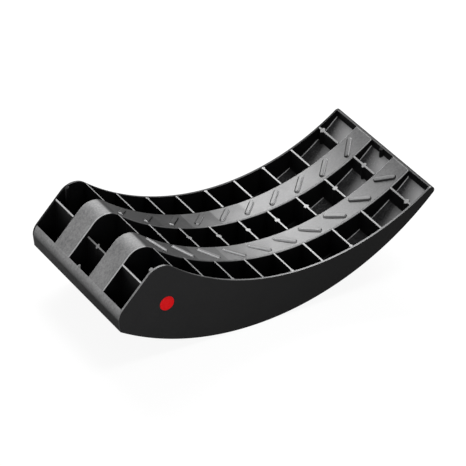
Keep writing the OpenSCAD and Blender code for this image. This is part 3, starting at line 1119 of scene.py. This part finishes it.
class LEVELLER_OT_floors(bpy.types.Operator):
    """Moulds the curved floors under the rows of cells, with a fillet along each wall"""

    bl_idname = "leveller.floors"
    bl_label = "Cell floors"

    def execute(self, context):
        view, rows, places, details = settings(context)
        fillet = details.floor_fillet
        height = rows.floor_t + fillet
        first = view.ground_tilt(view.lip_inner - SPARE)
        last = view.ground_tilt(view.tip_inner + SPARE)
        for name, (low, high) in places.cells.items():
            bm = bmesh.new()
            end = [bm.verts.new(ACROSS * low)]
            end = draw(bm, end, UP * height)
            end = turn(
                bm, end, ACROSS * (low + fillet) + UP * height, QUARTER_TURN, CORNER_STEPS, ALONG
            )
            end = draw(bm, end, ACROSS * (high - low - 2.0 * fillet))
            end = turn(
                bm, end, ACROSS * (high - fillet) + UP * height, QUARTER_TURN, CORNER_STEPS, ALONG
            )
            end = draw(bm, end, UP * -height)
            draw(bm, end, ACROSS * (low - high))
            weld(bm)
            bmesh.ops.rotate(
                bm, cent=stand(view.rock), matrix=Matrix.Rotation(-first, 3, "Y"), verts=bm.verts
            )
            turn(bm, everything(bm), stand(view.rock), first - last, ROCK_STEPS)
            trim_ends(bm, view)
            bmesh.ops.recalc_face_normals(bm, faces=bm.faces)
            # Undersides take the wall's finish; floors before the first lit rib take the darkest finish,
            # painted shade; the fillets take the pale edge finish, a painted highlight
            for face in bm.faces:
                if face.normal.z < 0.0:
                    face.material_index = THIRD
                elif face.calc_center_median().x < places.ribs[FIRST_LIT_FLOOR_RIB - 1]:
                    face.material_index = FOURTH
                elif FILLET_SHARE[0] < abs(face.normal.y) < FILLET_SHARE[1]:
                    face.material_index = SECOND
            black_piece(context, bm, view, f"{name}_floor", "floor", "edge", "wall", "cell")
        return {"FINISHED"}


class LEVELLER_OT_treads(bpy.types.Operator):
    """Moulds the two tread decks, over the slope and the crest and down through the cradle"""

    bl_idname = "leveller.treads"
    bl_label = "Treads"

    def execute(self, context):
        view, rows, places, details = settings(context)
        shape = view.shape
        out = stand(-view.slope_in)
        crest_start = view.crest - shape.crest_r * view.slope_in
        for name, side in SIDES.items():
            bm = bmesh.new()
            middle = stand(view.slope_start, side * places.tread) - out * rows.deck_t / 2.0
            square = Matrix((ACROSS * rows.tread_w, out * rows.deck_t, stand(view.slope_along)))
            bmesh.ops.create_grid(
                bm,
                x_segments=1,
                y_segments=1,
                size=HALF_UNIT,
                matrix=Matrix.Translation(middle) @ square.transposed().to_4x4(),
            )
            corners = [vertex for vertex in bm.verts if (vertex.co - middle).dot(out) > 0.0]
            round_off(bm, corners, details.deck_round, CORNER_STEPS, "VERTICES")
            bmesh.ops.delete(bm, geom=bm.faces[:], context="FACES_ONLY")
            end = draw(bm, everything(bm), stand(crest_start - view.slope_start))
            end = over_crest(bm, end, view)
            turn(bm, end, stand(view.tip), view.at_tip.angle_signed(view.out_tip) / 2.0, TIP_STEPS)
            trim_ends(bm, view)
            finish_faces(bm, view, lean=EDGE_SHARE)
            # The rounded edges of the deck take the pale edge finish, a painted highlight
            for face in bm.faces:
                if face.material_index == FIRST and DECK_SHARE < slant(face, view) < EDGE_SHARE:
                    face.material_index = THIRD
            black_piece(context, bm, view, f"{name}_tread", "cell", "tread", "edge")
        return {"FINISHED"}


class LEVELLER_OT_tread_walls(bpy.types.Operator):
    """Moulds the four upright walls under the edges of the treads"""

    bl_idname = "leveller.tread_walls"
    bl_label = "Tread walls"

    def execute(self, context):
        view, rows, places, _ = settings(context)
        for name, side in SIDES.items():
            for edge_name, face_y, inward in (("inner", places.inner, 1.0), ("outer", places.outer, -1.0)):
                bm = bmesh.new()
                face = wall_face(bm, view, side * face_y, rows.deck_t)
                raise_face(bm, face, ACROSS * side * inward * rows.wall_t)
                trim_ends(bm, view)
                black_piece(context, bm, view, f"{name}_{edge_name}_wall", "cell")
        return {"FINISHED"}


class LEVELLER_OT_channel_ribs(bpy.types.Operator):
    """Moulds the ribs inside the channels under the treads"""

    bl_idname = "leveller.channel_ribs"
    bl_label = "Channel ribs"

    def execute(self, context):
        view, rows, places, details = settings(context)
        half = places.tread - places.inner - rows.wall_t
        for name, side in SIDES.items():
            whole = bmesh.new()
            for x in places.ribs:
                middle = side * places.tread
                rib = make_plate(x, middle - half, middle + half, rows.rib_t)
                tilt = view.rim_tilt(x)
                trim(rib, stand(view.rim(x)) - normal_at(tilt) * rows.deck_t, normal_at(tilt))
                low = trim(rib, stand(view.ground(x, rows.channel_lift)), -normal_at(view.ground_tilt(x)))
                round_off(rib, [edge for edge in low if is_long(edge)], details.rib_round)
                take_in(whole, rib)
            black_piece(context, whole, view, f"{name}_channel_ribs", "cell")
        return {"FINISHED"}


def make_plate(x, low, high, thick, boss_y=None, boss_r=0.0):
    """Makes a tall upright plate across the width, with a round boss in it where asked."""
    bm = bmesh.new()
    half = thick / 2.0
    end = [bm.verts.new(Vector((x - half, low, -PAST)))]
    if boss_y is None:
        end = draw(bm, end, ACROSS * (high - low))
        end = draw(bm, end, ALONG * thick)
        end = draw(bm, end, ACROSS * (low - high))
    else:
        reach = math.sqrt(boss_r * boss_r - half * half)
        swing = -2.0 * math.atan2(reach, half)
        axis = Vector((x, boss_y, -PAST))
        end = draw(bm, end, ACROSS * (boss_y - reach - low))
        end = turn(bm, end, axis, swing, BOSS_STEPS, UP)
        end = draw(bm, end, ACROSS * (high - boss_y - reach))
        end = draw(bm, end, ALONG * thick)
        end = draw(bm, end, ACROSS * (boss_y + reach - high))
        end = turn(bm, end, axis, swing, BOSS_STEPS, UP)
        end = draw(bm, end, ACROSS * (low - boss_y + reach))
    draw(bm, end, ALONG * -thick)
    weld(bm)
    raise_face(bm, fill(bm, bm.edges[:]), UP * PLATE_H)
    return bm


class LEVELLER_OT_cross_ribs(bpy.types.Operator):
    """Moulds the cross ribs that part the cells, with their round bosses"""

    bl_idname = "leveller.cross_ribs"
    bl_label = "Cross ribs"

    def execute(self, context):
        view, rows, places, details = settings(context)
        for name, (low, high) in places.cells.items():
            for number, x in enumerate(places.ribs, start=NOSE_RIB):
                boss_y, boss_d = self.boss_of(name, number, rows, places)
                thick = rows.nose_rib_t if number == NOSE_RIB else rows.rib_t
                drop = rows.nose_rib_drop if number == NOSE_RIB and name == "middle" else 0.0
                rib = make_plate(x, low - SPARE, high + SPARE, thick, boss_y, boss_d / 2.0)
                trim(rib, stand(view.ground(x, rows.floor_t)), -normal_at(view.ground_tilt(x)))
                above = normal_at(view.rim_tilt(x))
                top = trim(rib, stand(view.rim(x)) - drop * above, above)
                round_off(rib, [edge for edge in top if is_long(edge)], details.rib_round)
                trim(rib, ACROSS * low, -ACROSS)
                trim(rib, ACROSS * high, ACROSS)
                finish_faces(rib, view, lean=RIM_SHARE if number in WIDE_RIBS else RIB_SHARE)
                top_finish = self.top_finish(name, number)
                black_piece(context, rib, view, f"{name}_rib_{number}", "cell", top_finish)
        return {"FINISHED"}

    def top_finish(self, name, number):
        """Finish of the top of a rib: the rim finish's painted highlight, and next to the nose the tread's
        finish in the middle row and the edge finish's paler painted highlight in the outer rows.
        """
        if number != NOSE_RIB:
            return "rim"
        return "tread" if name == "middle" else "edge"

    def boss_of(self, name, number, rows, places):
        """Place across the width and diameter of the boss of a rib, if it has one."""
        if name == "middle":
            return 0.0, rows.boss_d if number > LAST_SMALL_BOSS else rows.small_boss_d
        if number in OUTER_BOSS_RIBS:
            return SIDES[name] * places.outer_boss, rows.boss_d
        if number in WALL_BOSS_RIBS:
            return SIDES[name] * places.wall_boss, rows.small_boss_d
        return None, 0.0


class LEVELLER_OT_grip_bars(bpy.types.Operator):
    """Moulds the slanted raised bars on the treads"""

    bl_idname = "leveller.grip_bars"
    bl_label = "Grip bars"

    def execute(self, context):
        view, _, places, details = settings(context)
        for name, side in SIDES.items():
            whole = bmesh.new()
            for number in range(details.bar_count):
                x = details.bar_reach - number * details.bar_pitch
                bar = self.make_bar(details)
                # Sides of the bar as it lies along X, before it is turned into its place
                shaded = [face for face in bar.faces if face.normal.y > SHADED_SHARE]
                pale = [face for face in bar.faces if face.normal.y < -PALE_SHARE]
                tilt = view.rim_tilt(x)
                stance = (
                    Matrix.Translation(stand(view.rim(x), side * places.tread))
                    @ Matrix.Rotation(-tilt, 4, "Y")
                    @ Matrix.Rotation(side * details.bar_angle, 4, "Z")
                )
                bmesh.ops.transform(bar, matrix=stance, verts=bar.verts)
                finish_faces(bar, view, lean=BAR_SHARE)
                self.mark_bar_light(bar, side < 0.0 and number >= FIRST_HIGHLIT_BAR)
                # On the right tread's bars away from the crest, one long side takes painted shade and the
                # other a painted highlight
                if side > 0.0 and number < FIRST_HIGHLIT_BAR:
                    self.mark(shaded, FIRST)
                    self.mark(pale, FOURTH)
                take_in(whole, bar)
            black_piece(context, whole, view, f"{name}_grip_bars", "cell", "tread", "bar", "edge")
        return {"FINISHED"}

    def mark(self, faces, finish):
        """Gives faces one of the finishes of the piece."""
        for face in faces:
            face.material_index = finish

    def mark_bar_light(self, bar, top_too):
        """Marks a bar's painted highlights: the sides toward nose and badge, and the top where asked."""
        for face in bar.faces:
            if face.material_index == FIRST and face.normal.dot(HIGHLIT_WAY) > HIGHLIT_SHARE:
                face.material_index = THIRD
            elif face.material_index == SECOND and top_too:
                face.material_index = FOURTH

    def make_bar(self, details):
        """Makes one bar with round ends and a rounded top, along X."""
        bm = bmesh.new()
        straight = details.bar_l - details.bar_w
        half = straight / 2.0
        base = UP * -details.bar_sink
        end = [bm.verts.new(base - ALONG * half - ACROSS * details.bar_w / 2.0)]
        end = draw(bm, end, ALONG * straight)
        end = turn(bm, end, base + ALONG * half, HALF_TURN, BAR_STEPS, UP)
        end = draw(bm, end, ALONG * -straight)
        turn(bm, end, base - ALONG * half, HALF_TURN, BAR_STEPS, UP)
        weld(bm)
        top = raise_face(bm, fill(bm, bm.edges[:]), UP * (details.bar_h + details.bar_sink))
        round_off(bm, top.edges[:], details.bar_round)
        bmesh.ops.recalc_face_normals(bm, faces=bm.faces)
        bm.normal_update()
        return bm


class LEVELLER_OT_badge(bpy.types.Operator):
    """Moulds the round red badge, a plain dished disc with a raised rim"""

    bl_idname = "leveller.badge"
    bl_label = "Badge"

    def execute(self, context):
        view, _, places, details = settings(context)
        bm = bmesh.new()
        badge_ring(bm, details, details.badge_t - places.side)
        top = raise_face(bm, bm.faces[:][0], ACROSS * -details.badge_t)
        edge = top.edges[:]
        bmesh.ops.inset_region(bm, faces=[top], thickness=details.badge_rim, use_even_offset=True)
        bmesh.ops.inset_region(bm, faces=[top], thickness=details.badge_dish, use_even_offset=True)
        bmesh.ops.translate(bm, vec=ACROSS * details.badge_dish, verts=top.verts)
        round_off(bm, edge, details.recess_round)
        make_piece(bm, view, "badge_disc", [plastic(context, "badge")], RED_SLOT, "badge")
        return {"FINISHED"}


class LEVELLER_PT_panel(bpy.types.Panel):
    """Lists the sizes, the finishes and the pieces of the leveller"""

    bl_idname = "LEVELLER_PT_panel"
    bl_label = "Wheel leveller"
    bl_space_type = "VIEW_3D"
    bl_region_type = "UI"
    bl_category = "Leveller"

    def draw(self, context):
        for group_name, group in GROUPS.items():
            box = self.layout.box()
            box.label(text=group.__doc__)
            for name in group.__annotations__:
                box.prop(getattr(context.scene, group_name), name)
        for operator in OPERATORS:
            self.layout.operator(operator.bl_idname)


OPERATORS = (
    LEVELLER_OT_stage,
    LEVELLER_OT_side_walls,
    LEVELLER_OT_nose_lip,
    LEVELLER_OT_tip_wall,
    LEVELLER_OT_floors,
    LEVELLER_OT_treads,
    LEVELLER_OT_tread_walls,
    LEVELLER_OT_channel_ribs,
    LEVELLER_OT_cross_ribs,
    LEVELLER_OT_grip_bars,
    LEVELLER_OT_badge,
)
CLASSES = (*GROUPS.values(), *OPERATORS, LEVELLER_PT_panel)


def register():
    """Registers the classes and hangs the property groups on the scene."""
    for item in CLASSES:
        bpy.utils.register_class(item)
    for name, group in GROUPS.items():
        setattr(bpy.types.Scene, name, PointerProperty(type=group))


def unregister():
    """Takes the property groups off the scene and unregisters the classes."""
    for name in GROUPS:
        delattr(bpy.types.Scene, name)
    for item in reversed(CLASSES):
        bpy.utils.unregister_class(item)


def main():
    """Registers the classes and builds the leveller."""
    register()
    bpy.ops.leveller.stage()
    bpy.ops.leveller.side_walls()
    bpy.ops.leveller.nose_lip()
    bpy.ops.leveller.tip_wall()
    bpy.ops.leveller.floors()
    bpy.ops.leveller.treads()
    bpy.ops.leveller.tread_walls()
    bpy.ops.leveller.channel_ribs()
    bpy.ops.leveller.cross_ribs()
    bpy.ops.leveller.grip_bars()
    bpy.ops.leveller.badge()
    bpy.context.view_layer.update()


if __name__ == "__main__":
    main()
